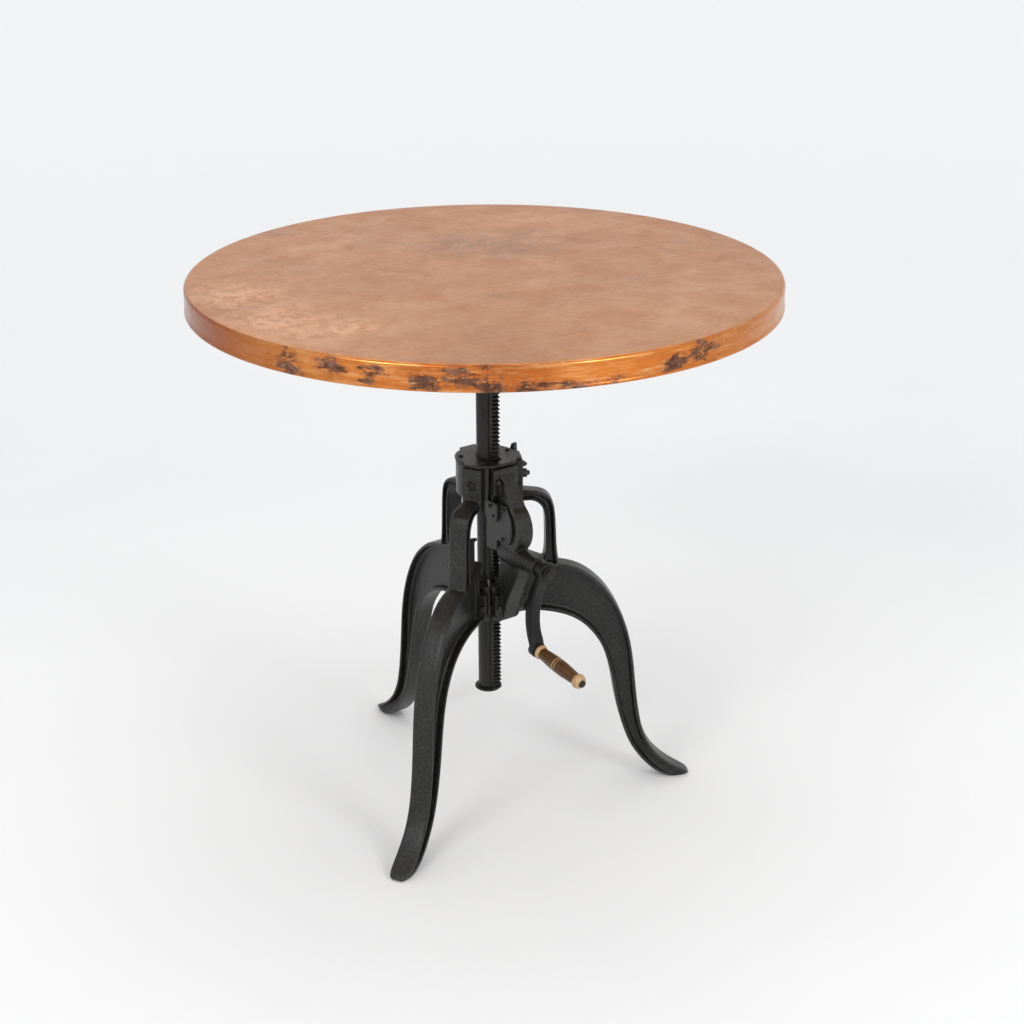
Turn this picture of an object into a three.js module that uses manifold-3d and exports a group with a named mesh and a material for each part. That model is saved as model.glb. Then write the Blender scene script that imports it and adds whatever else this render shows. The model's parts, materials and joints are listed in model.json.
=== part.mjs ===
// Crank-height table: a round copper-clad top on a toothed column, carried by a
// three-legged cast-iron base. A worm on the crankshaft turns a gear wheel that
// climbs the column's rack, so one turn of the crank lifts the top by one tooth.
// Units are millimetres, +Z is up, the origin is on the floor under the column,
// and the crank faces -Y.
import * as THREE from 'three';
import * as BufferGeometryUtils from 'three/addons/utils/BufferGeometryUtils.js';
import Module from 'manifold-3d';

const wasm = await Module();
wasm.setup();

// ---------------------------------------------------------------- dimensions
const REST_H = 890;            // top surface above the floor, as stored
const TOP_R = 457.2;           // 36 in round top
const TOP_T = 38;              // 1.5 in thick edge band
const SHEET = 1.3;             // copper sheet
const TOP_Z0 = REST_H - TOP_T; // underside of the top

const TUBE_R = 16;             // column tube, 32 mm outside
const TUBE_RI = 12.5;
const COL_Z0 = 186.4;          // lower end of the column
const COL_Z1 = 848;

const MODULE_ = 25.4 / 12;     // 12 diametral pitch teeth
const PITCH = Math.PI * MODULE_;
const PRESSURE = THREE.MathUtils.degToRad(20);
const RACK_W = 12.7;           // half-inch square rack bar
const RACK_TIP = 29.0;         // tooth tips from the column axis
const RACK_BACK = 16.4;
const RACK_Z0 = 186.6;
const RACK_Z1 = 806;
const RACK_PITCH_R = RACK_TIP - MODULE_;

const WHEEL_N = 35;            // lift wheel teeth
const WHEEL_RP = WHEEL_N * MODULE_ / 2;
const WHEEL_W = 10;
const WORM_RP = 9.5;
const WORM_Z = 446;            // crankshaft height
const WHEEL_Z = WORM_Z + WORM_RP + WHEEL_RP + 0.15;
const WHEEL_R = RACK_PITCH_R + WHEEL_RP + 0.15;   // wheel axle from the column axis

const LEG_AZ = { leg_back: 90, leg_front_left: 210, leg_front_right: 330 };
const CRANK_AZ = 270;
const LOCK_AZ = 14;

const UP_Z0 = 532, UP_Z1 = 588;      // upper collar
const LO_Z0 = 322, LO_Z1 = 384;      // lower collar
const COLLAR_R = 49;
const FLAT_R = 45;                   // leg seats on the upper collar
const LO_FLAT_R = 46;                // leg seats on the lower collar
const BUSH_RI = 16.35, BUSH_RO = 18.8, BORE_R = 19.1;

const CRANK_R = 142;                 // throw of the crank
const HANDLE_TILT = THREE.MathUtils.degToRad(6.5);

// ------------------------------------------------------------------ materials
const mat = {
  copper: { color: 0xc58a66, roughness: 0.38, metalness: 1.0 },
  wood: { color: 0xa8875c, roughness: 0.8, metalness: 0.0 },
  iron: { color: 0x2a2a28, roughness: 0.5, metalness: 0.35 },
  column: { color: 0x30302e, roughness: 0.42, metalness: 0.5 },
  steel: { color: 0x55534e, roughness: 0.4, metalness: 0.8 },
  bronze: { color: 0x8b6a3a, roughness: 0.45, metalness: 0.9 },
  darkwood: { color: 0x4a2a14, roughness: 0.42, metalness: 0.0 },
  lightwood: { color: 0xc79b62, roughness: 0.5, metalness: 0.0 },
};

// -------------------------------------------------------------------- helpers
const V = (x, y, z) => new THREE.Vector3(x, y, z);
const rad = THREE.MathUtils.degToRad;

function solid(geo) {
  const g = geo.clone();
  for (const name of Object.keys(g.attributes)) if (name !== 'position') g.deleteAttribute(name);
  g.deleteAttribute('normal'); g.deleteAttribute('uv');
  const m = BufferGeometryUtils.mergeVertices(g, 1e-4);
  const idx = m.index.array, tri = [];
  for (let i = 0; i < idx.length; i += 3) {
    if (idx[i] !== idx[i + 1] && idx[i + 1] !== idx[i + 2] && idx[i] !== idx[i + 2]) tri.push(idx[i], idx[i + 1], idx[i + 2]);
  }
  return new wasm.Manifold(new wasm.Mesh({
    numProp: 3,
    vertProperties: new Float32Array(m.attributes.position.array),
    triVerts: new Uint32Array(tri),
  }));
}

function geometry(man) {
  const mesh = man.getMesh();
  const g = new THREE.BufferGeometry();
  const n = mesh.vertProperties.length / mesh.numProp;
  const pos = new Float32Array(n * 3);
  for (let i = 0; i < n; i++) for (let k = 0; k < 3; k++) pos[3 * i + k] = mesh.vertProperties[i * mesh.numProp + k];
  g.setAttribute('position', new THREE.BufferAttribute(pos, 3));
  g.setIndex(Array.from(mesh.triVerts));
  return g;
}

const union = (...geos) => geos.map(solid).reduce((a, b) => a.add(b));
const cut = (man, ...geos) => geos.map(solid).reduce((a, b) => a.subtract(b), man);

function box(x0, x1, y0, y1, z0, z1) {
  const g = new THREE.BoxGeometry(x1 - x0, y1 - y0, z1 - z0);
  g.translate((x0 + x1) / 2, (y0 + y1) / 2, (z0 + z1) / 2);
  return g;
}

// cylinder of radius r along an axis, from a to b, centred on (p, q) in the other two axes
function rod(axis, r, a, b, p = 0, q = 0, seg = 24) {
  const g = new THREE.CylinderGeometry(r, r, b - a, seg);   // along Y
  const c = (a + b) / 2;
  if (axis === 'x') { g.rotateZ(-Math.PI / 2); g.translate(c, p, q); }
  if (axis === 'y') { g.translate(p, c, q); }
  if (axis === 'z') { g.rotateX(Math.PI / 2); g.translate(p, q, c); }
  return g;
}

// closed profile of [radius, height] turned about Z
function turned(pts, seg = 32) {
  const g = new THREE.LatheGeometry(pts.map(([r, z]) => new THREE.Vector2(r, z)), seg);
  g.rotateX(Math.PI / 2);
  return g;
}

// turned profile laid along local +X: [radius, distance]
function turnedX(pts, seg = 24) {
  const g = turned(pts, seg);
  g.rotateY(Math.PI / 2);
  return g;
}

// polygon in (r, z), thickness from s0 to s1 along local Y
function plate(pts, s0, s1, bevel = 0) {
  const shape = new THREE.Shape(pts.map(([r, z]) => new THREE.Vector2(r, z)));
  const g = new THREE.ExtrudeGeometry(shape, {
    depth: s1 - s0 - 2 * bevel, bevelEnabled: bevel > 0, bevelThickness: bevel, bevelSize: bevel, bevelOffset: -bevel, bevelSegments: 1, steps: 1,
  });
  g.translate(0, 0, bevel);
  g.rotateX(Math.PI / 2);       // (r, z, t) -> (r, -t, z)
  g.translate(0, s1, 0);
  return g;
}

// rounded rectangle in (s, z), thickness from r0 to r1 along local X
function pad(s0, s1, z0, z1, r0, r1, rb, rt, bevel = 1.2) {
  const sh = new THREE.Shape();
  sh.moveTo(s0 + rb, z0);
  sh.lineTo(s1 - rb, z0); sh.absarc(s1 - rb, z0 + rb, rb, -Math.PI / 2, 0, false);
  sh.lineTo(s1, z1 - rt); sh.absarc(s1 - rt, z1 - rt, rt, 0, Math.PI / 2, false);
  sh.lineTo(s0 + rt, z1); sh.absarc(s0 + rt, z1 - rt, rt, Math.PI / 2, Math.PI, false);
  sh.lineTo(s0, z0 + rb); sh.absarc(s0 + rb, z0 + rb, rb, Math.PI, 1.5 * Math.PI, false);
  const g = new THREE.ExtrudeGeometry(sh, { depth: r1 - r0 - 2 * bevel, bevelEnabled: true, bevelThickness: bevel, bevelSize: bevel, bevelOffset: -bevel, bevelSegments: 1, curveSegments: 2 });
  g.translate(0, 0, bevel);
  g.rotateX(Math.PI / 2); g.rotateZ(Math.PI / 2);   // (s, z, t) -> (t, s, z)
  g.translate(r0, 0, 0);
  return g;
}

// closed skin through rings of equal length, capped at both ends
function loft(rings, cap) {
  const n = rings[0].length, pos = [], idx = [];
  for (const ring of rings) for (const p of ring) pos.push(p.x, p.y, p.z);
  for (let i = 0; i + 1 < rings.length; i++) {
    for (let j = 0; j < n; j++) {
      const a = i * n + j, b = i * n + (j + 1) % n, c = (i + 1) * n + (j + 1) % n, d = (i + 1) * n + j;
      idx.push(a, b, c, a, c, d);
    }
  }
  const flat = cap.map(([x, y]) => new THREE.Vector2(x, y));
  let tris = THREE.ShapeUtils.triangulateShape(flat, []);
  if (THREE.ShapeUtils.isClockWise(flat)) tris = tris.map(([a, b, c]) => [a, c, b]);
  const last = (rings.length - 1) * n;
  for (const [a, b, c] of tris) { idx.push(a, c, b); idx.push(last + a, last + b, last + c); }
  const g = new THREE.BufferGeometry();
  g.setAttribute('position', new THREE.BufferAttribute(new Float32Array(pos), 3));
  g.setIndex(idx);
  // make the faces point out
  let vol = 0; const P = i => V(pos[3 * i], pos[3 * i + 1], pos[3 * i + 2]);
  for (let i = 0; i < idx.length; i += 3) vol += P(idx[i]).dot(P(idx[i + 1]).cross(P(idx[i + 2])));
  if (vol < 0) { for (let i = 0; i < idx.length; i += 3) { const t = idx[i]; idx[i] = idx[i + 1]; idx[i + 1] = t; } g.setIndex(idx); }
  return g;
}

const group = new THREE.Group();
function node(name, geo, material, az = 0, place = null) {
  const g = geo.isBufferGeometry ? geo : geometry(geo);
  const m = new THREE.Mesh(g, new THREE.MeshStandardMaterial(mat[material]));
  m.name = name;
  if (place) { m.position.copy(place.position); m.quaternion.copy(place.quaternion); }
  const holder = new THREE.Group();
  holder.rotation.z = rad(az);
  holder.add(m);
  group.add(holder);
  return m;
}

// ------------------------------------------------------------------- the top
const TOP_SEG = 48;
node('copper_top', turned([
  [0, REST_H], [452, REST_H], [455.8, REST_H - 1.8], [TOP_R, REST_H - 5.6], [TOP_R, TOP_Z0 + 4.0],
  [458.0, TOP_Z0 + 1.2], [456.4, TOP_Z0 - 1.4], [432, TOP_Z0 - 1.4], [432, TOP_Z0 - 0.2],
  [455.6, TOP_Z0 - 0.2], [455.6, REST_H - 5.0], [451.6, REST_H - SHEET], [0, REST_H - SHEET],
].reverse(), TOP_SEG), 'copper');
node('wood_core', turned([
  [0, TOP_Z0 + 0.1], [455.2, TOP_Z0 + 0.1], [455.2, REST_H - 5.6], [450.8, REST_H - 1.7], [0, REST_H - 1.7],
], TOP_SEG), 'wood');

// cast flange that joins the column to the wooden core
const FLANGE_Z1 = TOP_Z0 - 0.3;
let flange = solid(turned([
  [16.4, 812], [24, 812], [26, 814], [27.5, 836], [40, 839.5], [106, 843.5], [110, 846], [110, FLANGE_Z1], [16.4, FLANGE_Z1], [16.4, 812],
], 28));
for (const a of [45, 135, 225, 315]) {
  const rib = plate([[24, 815], [30, 815], [98, 841], [98, 846], [24, 846]], -3, 3);
  rib.rotateZ(rad(a - 45 + 0));
  flange = flange.add(solid(rib));
}
for (const a of [45, 135, 225, 315]) {
  flange = flange.subtract(solid(rod('z', 3.3, 830, 860, 90 * Math.cos(rad(a)), 90 * Math.sin(rad(a)), 8)));
}
flange = cut(flange, rod('y', 4.4, 15, 40, 0, 824, 8).rotateZ(rad(45)));
node('top_flange', flange, 'iron');
['a', 'b', 'c', 'd'].forEach((k, i) => {
  const a = rad(45 + 90 * i);
  const g = turned([[0, 836.6], [4.2, 837.0], [5.8, 839.2], [3.0, 842.0], [3.0, TOP_Z0 - 0.1], [0, TOP_Z0 - 0.1]], 8);
  g.translate(90 * Math.cos(a), 90 * Math.sin(a), 0);
  node('flange_screw_' + k, g, 'steel');
});
const setScrew = turned([[0, 0], [4, 0], [4, 11.6], [6.2, 11.6], [6.2, 17], [0, 17]], 8);
setScrew.rotateX(-Math.PI / 2);      // along +Y
setScrew.translate(0, 16.4, 824);
node('flange_set_screw', setScrew, 'steel', 45);

// ---------------------------------------------------------------- the column
node('column_tube', turned([[TUBE_RI, COL_Z0], [TUBE_R, COL_Z0], [TUBE_R, COL_Z1], [TUBE_RI, COL_Z1], [TUBE_RI, COL_Z0]], 32), 'column');

// toothed bar: the outline lies in (r, z); a tooth space is level with the wheel's axle
{
  const t = Math.tan(PRESSURE), root = RACK_TIP - 2.25 * MODULE_, half = PITCH / 4 - 0.1;
  const tip = half - MODULE_ * t, foot = half + 1.25 * MODULE_ * t;
  const pts = [[RACK_BACK, RACK_Z0], [root, RACK_Z0]];
  const k0 = Math.ceil((RACK_Z0 + foot + 0.3 - WHEEL_Z - PITCH / 2) / PITCH);
  for (let k = k0; ; k++) {
    const z = WHEEL_Z + PITCH / 2 + k * PITCH;
    if (z + foot > RACK_Z1) break;
    pts.push([root, z - foot], [RACK_TIP, z - tip], [RACK_TIP, z + tip], [root, z + foot]);
  }
  pts.push([root, RACK_Z1], [RACK_BACK, RACK_Z1]);
  node('column_rack', plate(pts, -RACK_W / 2, RACK_W / 2), 'column', CRANK_AZ);
}
node('column_end_disc', cut(solid(turned([
  [0, 180.8], [20, 180.8], [22.5, 183.2], [21.4, 186], [12.1, 186], [12.1, 199], [0, 199],
], 24)), rod('z', 4.3, 170, 197, 0, 0, 12)), 'column');
node('column_end_screw', turned([[0, 175.6], [6, 175.6], [7, 176.6], [7, 180.4], [4, 180.5], [4, 196], [0, 196]], 12), 'steel');

// ------------------------------------------------------------------- collars
function collar(z0, z1, flat, lowerSlot) {
  let c = solid(turned([[BORE_R, z0], [COLLAR_R - 1.5, z0], [COLLAR_R, z0 + 1.5], [COLLAR_R, z1 - 1.5], [COLLAR_R - 1.5, z1], [BORE_R, z1], [BORE_R, z0]], 32));
  for (const az of [...Object.values(LEG_AZ), CRANK_AZ]) {
    const b = box(flat, 70, -40, 40, z0 - 5, z1 + 5); b.rotateZ(rad(az)); c = c.subtract(solid(b));
  }
  const slot = box(10, 32, -8.2, 8.2, z0 - 5, z1 + 5); slot.rotateZ(rad(CRANK_AZ));
  c = c.subtract(solid(slot));
  const split = box(10, 70, -2.2, 2.2, z0 - 5, z1 + 5); split.rotateZ(rad(241));
  c = c.subtract(solid(split));
  return c;
}
// the rack channel of both collars opens into the gear housing's flat
function channel(z0, z1) { const g = box(28, 60, -8.2, 8.2, z0, z1); g.rotateZ(rad(CRANK_AZ)); return g; }

function radialHole(c, az, s, z, r0, r1, radius) {
  const h = rod('x', radius, r0, r1, s, z, 8); h.rotateZ(rad(az)); return c.subtract(solid(h));
}
const UP_BOLT_Z = 560, LO_BOLT_Z = 350, LO_BOLT_S = 17, LOCK_Z = 568;
let upper = collar(UP_Z0, UP_Z1, FLAT_R);
for (const az of Object.values(LEG_AZ)) upper = radialHole(upper, az, 0, UP_BOLT_Z, 30, 60, 4.3);
for (const s of [-15.5, 15.5]) upper = radialHole(upper, CRANK_AZ, s, 566, 33, 60, 3.4);
{
  const lug = rod('x', 9, 44, 54, 0, LOCK_Z, 20); lug.rotateZ(rad(LOCK_AZ));
  upper = upper.add(solid(lug));
  upper = radialHole(upper, LOCK_AZ, 0, LOCK_Z, 10, 70, 5.7);
}
for (const az of [150, 30 + 0, 262]) {
  const h = rod('z', 2.4, UP_Z1 - 12, UP_Z1 + 5, 41, 0, 8); h.rotateZ(rad(az === 262 ? 228 : az === 30 ? 0 : az));
  upper = upper.subtract(solid(h));
}
node('upper_collar', upper, 'iron');

let lid = solid(turned([[17.2, UP_Z1 + 0.3], [49.5, UP_Z1 + 0.3], [50.5, UP_Z1 + 1.3], [50.5, UP_Z1 + 3.2], [49.3, UP_Z1 + 4.4], [17.2, UP_Z1 + 4.4], [17.2, UP_Z1 + 0.3]], 32));
{
  const lobes = [];
  for (const az of [...Object.values(LEG_AZ)]) { const b = box(30, 54, -15, 15, UP_Z1 + 0.3, UP_Z1 + 4.4); b.rotateZ(rad(az)); lobes.push(b); }
  for (const b of lobes) lid = lid.add(solid(b));
  const slot = box(0, 31, -8.2, 8.2, UP_Z1 - 5, UP_Z1 + 9); slot.rotateZ(rad(CRANK_AZ));
  lid = lid.subtract(solid(slot));
  for (const az of [0, 150, 228]) { const h = rod('z', 2.7, UP_Z1 - 5, UP_Z1 + 9, 41, 0, 8); h.rotateZ(rad(az)); lid = lid.subtract(solid(h)); }
}
node('collar_lid', lid, 'iron');
[['a', 0], ['b', 150], ['c', 228]].forEach(([k, az]) => {
  const g = turned([[0, UP_Z1 - 9], [2.2, UP_Z1 - 9], [2.2, UP_Z1 + 4.7], [4.2, UP_Z1 + 4.7], [3.8, UP_Z1 + 6.4], [0, UP_Z1 + 7.4]], 8);
  g.translate(41, 0, 0);
  node('lid_screw_' + k, g, 'steel', az);
});

let lower = collar(LO_Z0, LO_Z1, LO_FLAT_R);
for (const az of [...Object.values(LEG_AZ), CRANK_AZ]) for (const s of [-LO_BOLT_S, LO_BOLT_S]) lower = radialHole(lower, az, s, LO_BOLT_Z, 32, 60, 3.3);
node('lower_collar', lower, 'iron');

// split guide bushes inside the collars, open towards the rack
for (const [name, z0, z1] of [['upper_bush', UP_Z0 + 1, UP_Z1 - 1], ['lower_bush', LO_Z0 + 1, LO_Z1 - 1]]) {
  let b = solid(turned([[BUSH_RI, z0], [BUSH_RO, z0], [BUSH_RO, z1], [BUSH_RI, z1], [BUSH_RI, z0]], 28));
  const slot = box(0, 30, -8.2, 8.2, z0 - 5, z1 + 5); slot.rotateZ(rad(CRANK_AZ));
  b = b.subtract(solid(slot));
  if (name === 'upper_bush') { const h = rod('x', 5.7, 10, 30, 0, LOCK_Z, 8); h.rotateZ(rad(LOCK_AZ)); b = b.subtract(solid(h)); }
  node(name, b, 'bronze');
}

// ---------------------------------------------------------------------- legs
// Each leg is one casting in a vertical plane: an I-section that runs from the lower
// collar over a high shoulder to a flattened foot, and an arm that loops back up to
// the upper collar. Stations give the outer edge and the inner edge as [r, z].
const LEG_OUTER = [[50.5, 430], [70, 421], [113, 405], [155, 391.5], [174, 377.5], [191, 360], [206, 338], [219, 312], [236, 257], [244.5, 195], [252.5, 129], [258.5, 99], [266.5, 76], [277, 57], [291, 40.5], [306, 27.5], [320, 18], [338.5, 6.6], [342, 3.2]];
const LEG_INNER = [[50.5, 322], [66, 324], [105, 320], [140, 308], [153.5, 299], [166, 287], [177, 273], [186.5, 257], [200, 217], [209, 172], [219.5, 122], [227, 97], [236, 74], [247, 54], [260.5, 36], [276, 20], [293, 8], [325, 0], [337, 0]];
const LEG_HALF = [15.5, 16, 17, 18, 18, 18, 18, 18, 18, 18, 18, 18, 18, 18, 18, 18, 17.5, 14, 9.5];
const ARM_OUTER = [[49, 536], [72, 532.5], [84, 530.5], [94, 526.5], [102, 519], [107, 507], [109.5, 490], [112, 440], [117, 402]];
const ARM_INNER = [[49, 514], [71, 516.5], [79.5, 513.5], [86, 507.5], [90, 500], [92, 490], [93, 478], [93.5, 436], [88, 400]];
const ARM_HALF = [13, 14.5, 15, 15.5, 15.5, 15.5, 15.5, 15.5, 15.5];

function iSection(half, depth, o) {
  const tf = Math.min(o.tf, depth * 0.3), ti = Math.min(o.ti, depth * 0.28), wb = o.web, wi = half * (o.inner ?? 1);
  const f = Math.min(2.5, (depth - tf - ti) * 0.25);
  const right = [[half * 0.72, 0], [half, 3.0 * Math.min(1, depth / 20)], [half, tf], [wb, tf + f], [wb, depth - ti - f], [wi, depth - ti], [wi - 0.6, depth]];
  const left = [...right].reverse().map(([s, u]) => [-s, u]);
  return [...right, ...left];
}
function castBar(outer, inner, halves, opt) {
  const rings = []; let cap = null;
  outer.forEach((O, i) => {
    const I = inner[i], du = [I[0] - O[0], I[1] - O[1]], L = Math.hypot(...du);
    const k = i / (outer.length - 1);
    const web = opt.web(k, halves[i]);
    const sec = iSection(halves[i], L, { tf: opt.tf, ti: opt.ti, web });
    if (!cap) cap = sec;
    rings.push(sec.map(([s, u]) => V(O[0] + du[0] * u / L, s, O[1] + du[1] * u / L)));
  });
  return loft(rings, cap);
}
const legBody = castBar(LEG_OUTER, LEG_INNER, LEG_HALF, { tf: 7, ti: 6, web: (k, h) => (k < 0.78 ? 4.5 : Math.min(h - 0.6, 4.5 + (h - 5.1) * (k - 0.78) / 0.14)) });
const legArm = castBar(ARM_OUTER, ARM_INNER, ARM_HALF, { tf: 5.5, ti: 4.5, web: (k) => (k < 0.1 ? 8 : 6.5) });
let leg = union(legBody, legArm,
  pad(-16.5, 16.5, 517, 587.2, FLAT_R + 0.3, 57, 3, 3),
  pad(-24, 24, 327, 374, LO_FLAT_R + 0.3, 57.5, 9, 4),
  box(51, 57, -11, 11, 326, 428));
leg = cut(leg, rod('x', 4.4, 30, 80, 0, UP_BOLT_Z, 8), rod('x', 3.4, 30, 66, LO_BOLT_S, LO_BOLT_Z, 8), rod('x', 3.4, 30, 66, -LO_BOLT_S, LO_BOLT_Z, 8));
// the tooling leaves the seat flat and the sole on the floor
leg = cut(leg, box(0, FLAT_R + 0.3, -30, 30, 500, 600), box(0, LO_FLAT_R + 0.3, -30, 30, 310, 600), box(0, 400, -30, 30, -10, 0));
const legGeo = geometry(leg);
for (const [name, az] of Object.entries(LEG_AZ)) node(name, legGeo, 'iron', az);

// stud, washer and nut at each upper seat; the shank runs into the collar
const upBolt = turnedX([[0, 33], [4, 33], [4, 57.3], [7.6, 57.3], [7.6, 59.2], [6.8, 64.6], [4, 65], [3.6, 69], [0, 69]], 12);
for (const [name, az] of Object.entries(LEG_AZ)) {
  const g = upBolt.clone(); g.translate(0, 0, UP_BOLT_Z);
  node('upper_bolt_' + name.replace('leg_', ''), g, 'steel', az);
}
const loBolt = turnedX([[0, 35], [3, 35], [3, 57.8], [5.6, 57.8], [5.2, 61.2], [0, 62.2]], 8);
for (const [name, az] of Object.entries(LEG_AZ)) for (const [side, s] of [['left', LO_BOLT_S], ['right', -LO_BOLT_S]]) {
  const g = loBolt.clone(); g.translate(0, s, LO_BOLT_Z);
  node('lower_bolt_' + name.replace('leg_', '') + '_' + side, g, 'steel', az);
}

// -------------------------------------------------------------- gear housing
// One casting between the collars. Two cheeks enclose the wheel, the outer wall follows
// the wheel's rim, the crank boss runs out below it, and two struts go down to the
// lower collar. Outline in [r, z].
const HALF = 10.8, CHEEK = 3.6;
const rim = [];
for (let a = 58; a >= -46; a -= 13) rim.push([WHEEL_R + 44.6 * Math.cos(rad(a)), WHEEL_Z + 44.6 * Math.sin(rad(a))]);
const BODY = [
  [FLAT_R + 0.3, 586], [53, 586], [56, 578], [63, 568], [74, 551], ...rim,
  [104, 440], [103, 428], [97, 412], [88.5, 395], [80, 378], [72, 362], [65, 345], [59, 331], [LO_FLAT_R + 0.3, 331],
  [LO_FLAT_R + 0.3, 384.6], [38, 387], [33, 400], [33, 520], [38, 529], [FLAT_R + 0.3, 531.6],
];
const STRAP_HALF = 13.4, STRAP_T = 7;
const strapOut = [[56, 578], [63, 568], [74, 551], ...rim, [104, 440], [103, 428], [97, 412], [88.5, 395], [80, 378], [72, 362], [66.5, 349]];
const strapIn = strapOut.map(([r, z], i) => {
  const a = strapOut[Math.max(0, i - 1)], b = strapOut[Math.min(strapOut.length - 1, i + 1)];
  const t = [b[0] - a[0], b[1] - a[1]], L = Math.hypot(...t);
  return [r + STRAP_T * t[1] / L, z - STRAP_T * t[0] / L];
});
let housing = union(plate(BODY, -HALF, HALF),
  plate([...strapOut, ...[...strapIn].reverse()], -STRAP_HALF, STRAP_HALF),
  pad(-23, 23, 543, 586.5, FLAT_R + 0.3, 54, 4, 3),
  pad(-24, 24, 326, 372, LO_FLAT_R + 0.3, 57.5, 9, 4),
  turnedX([[0, 50], [15, 50], [17, 53], [17, 84], [16.2, 102], [15.4, 122], [15.4, 139.6], [14.2, 142.2], [0, 142.2]], 24).translate(0, 0, WORM_Z));
{
  const cav = HALF - CHEEK;
  // room for the wheel, the rack, the worm and the crankshaft
  housing = cut(housing,
    rod('y', WHEEL_RP + MODULE_ + 1.0, -cav, cav, WHEEL_R, WHEEL_Z, 32),
    box(10, 42, -8.2, 8.2, 300, 600),
    rod('x', WORM_RP + 3.3, 51, 81.6, 0, WORM_Z, 20),
    rod('x', 9.9, 81, 160, 0, WORM_Z, 24),
    rod('x', 5.5, 30, 52, 0, WORM_Z, 16));
  // the struts are open between the cheeks
  housing = cut(housing, plate([[20, 424], [92, 424], [84, 404], [73, 382], [61, 358], [LO_FLAT_R + 14, 352], [LO_FLAT_R + 14, 376], [20, 376]], -6.6, 6.6));
  // lightening pocket on the far cheek, axle holes and fastener holes
  housing = cut(housing, rod('y', 5.3, -30, 30, WHEEL_R, WHEEL_Z, 12));
  for (const s of [-15.5, 15.5]) housing = cut(housing, rod('x', 3.4, 30, 60, s, 566, 8));
  for (const s of [-LO_BOLT_S, LO_BOLT_S]) housing = cut(housing, rod('x', 3.4, 30, 66, s, LO_BOLT_Z, 8));
  // room for the bolt heads beside the strap
  for (const s of [-15.5, 15.5]) housing = cut(housing, rod('x', 5.4, 54.0, 84, s, 566, 12));
  for (const s of [-LO_BOLT_S, LO_BOLT_S]) housing = cut(housing, rod('x', 6.4, 57.5, 84, s, LO_BOLT_Z, 12));
  // the near cheek is open towards the rack below the cover
  housing = cut(housing, plate([[20, 396], [46, 396], [50, 401], [50, 438], [47, 443], [20, 443]], -30, -6.2));
  // window in the near cheek under the cover
  housing = cut(housing, plate([[31, 470], [52, 470], [50, 500], [53, 514], [31, 514]], -30, -6.9));
  for (const [r, z] of [[36.5, 522], [66, 522.5], [63.5, 471.5]]) housing = cut(housing, rod('y', 2.1, -20, -6.5, r, z, 8));
}
node('gear_housing', housing, 'iron', CRANK_AZ);

let cover = solid(plate([[19, 447], [21.5, 444.5], [46, 446.5], [48.5, 449], [48.5, 463], [51, 466], [78, 466], [84, 472], [88, 484], [89, 497], [86, 511], [80, 521], [73, 530.8], [25, 530.8], [19, 525]], -HALF - 3.9, -HALF - 0.3, 0.8));
cover = cut(cover, rod('y', 2.4, -30, 0, 36.5, 522, 8), rod('y', 2.4, -30, 0, 66, 522.5, 8), rod('y', 2.4, -30, 0, 63.5, 471.5, 8));
node('housing_cover', cover, 'iron', CRANK_AZ);
// raised bracket that keeps the rack against the wheel, over the cover's upper half
const BR = [];
for (let a = 190; a <= 350; a += 20) BR.push([38.5 + 17.5 * Math.cos(rad(a)), 508 + 13 * Math.sin(rad(a))]);
let bracket = solid(plate([...BR, [56, 526], [53, 530.4], [24, 530.4], [21, 527]], -HALF - 8.6, -HALF - 4.2, 0.9));
bracket = cut(bracket, rod('y', 2.8, -30, -2, 46, 508, 8), rod('y', 2.4, -30, -2, 36.5, 522, 8));
node('guide_bracket', bracket, 'iron', CRANK_AZ);
const sideScrew = (len, head, shank) => {
  const g = turned([[0, 0], [shank, 0], [shank, len], [head, len], [head - 0.6, len + 2.4], [0, len + 3]], 8);
  g.rotateX(Math.PI / 2);            // along -Y
  return g;
};
const coverScrew = (name, r, z, sHead, head = 3.7) => {
  const g = sideScrew(sHead - 7.6, head, 1.8); g.translate(r, -7.6, z);
  node(name, g, 'steel', CRANK_AZ);
};
coverScrew('cover_screw_upper', 66, 522.5, HALF + 4.2);
coverScrew('cover_screw_lower', 63.5, 471.5, HALF + 4.2);
coverScrew('bracket_screw', 36.5, 522, HALF + 8.9);
const housingBolt = turnedX([[0, 35], [3, 35], [3, 54.3], [4.4, 54.3], [4.1, 57.6], [0, 58.6]], 8);
for (const [side, s] of [['right', 15.5], ['left', -15.5]]) { const g = housingBolt.clone(); g.translate(0, s, 566); node('housing_bolt_upper_' + side, g, 'steel', CRANK_AZ); }
for (const [side, s] of [['right', LO_BOLT_S], ['left', -LO_BOLT_S]]) { const g = loBolt.clone(); g.translate(0, s, LO_BOLT_Z); node('housing_bolt_lower_' + side, g, 'steel', CRANK_AZ); }

// wheel axle: a shouldered pin through both cheeks
{
  const g = turned([[0, 0], [6.8, 0], [7.6, 0.8], [7.6, 3.4], [5.0, 3.7], [5.0, 25.6], [0, 25.6]], 12);
  g.rotateX(Math.PI / 2);            // head on the far cheek, the end level with the near one
  g.translate(WHEEL_R, HALF + 4.0, WHEEL_Z);
  node('wheel_pin', g, 'steel', CRANK_AZ);
}

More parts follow.
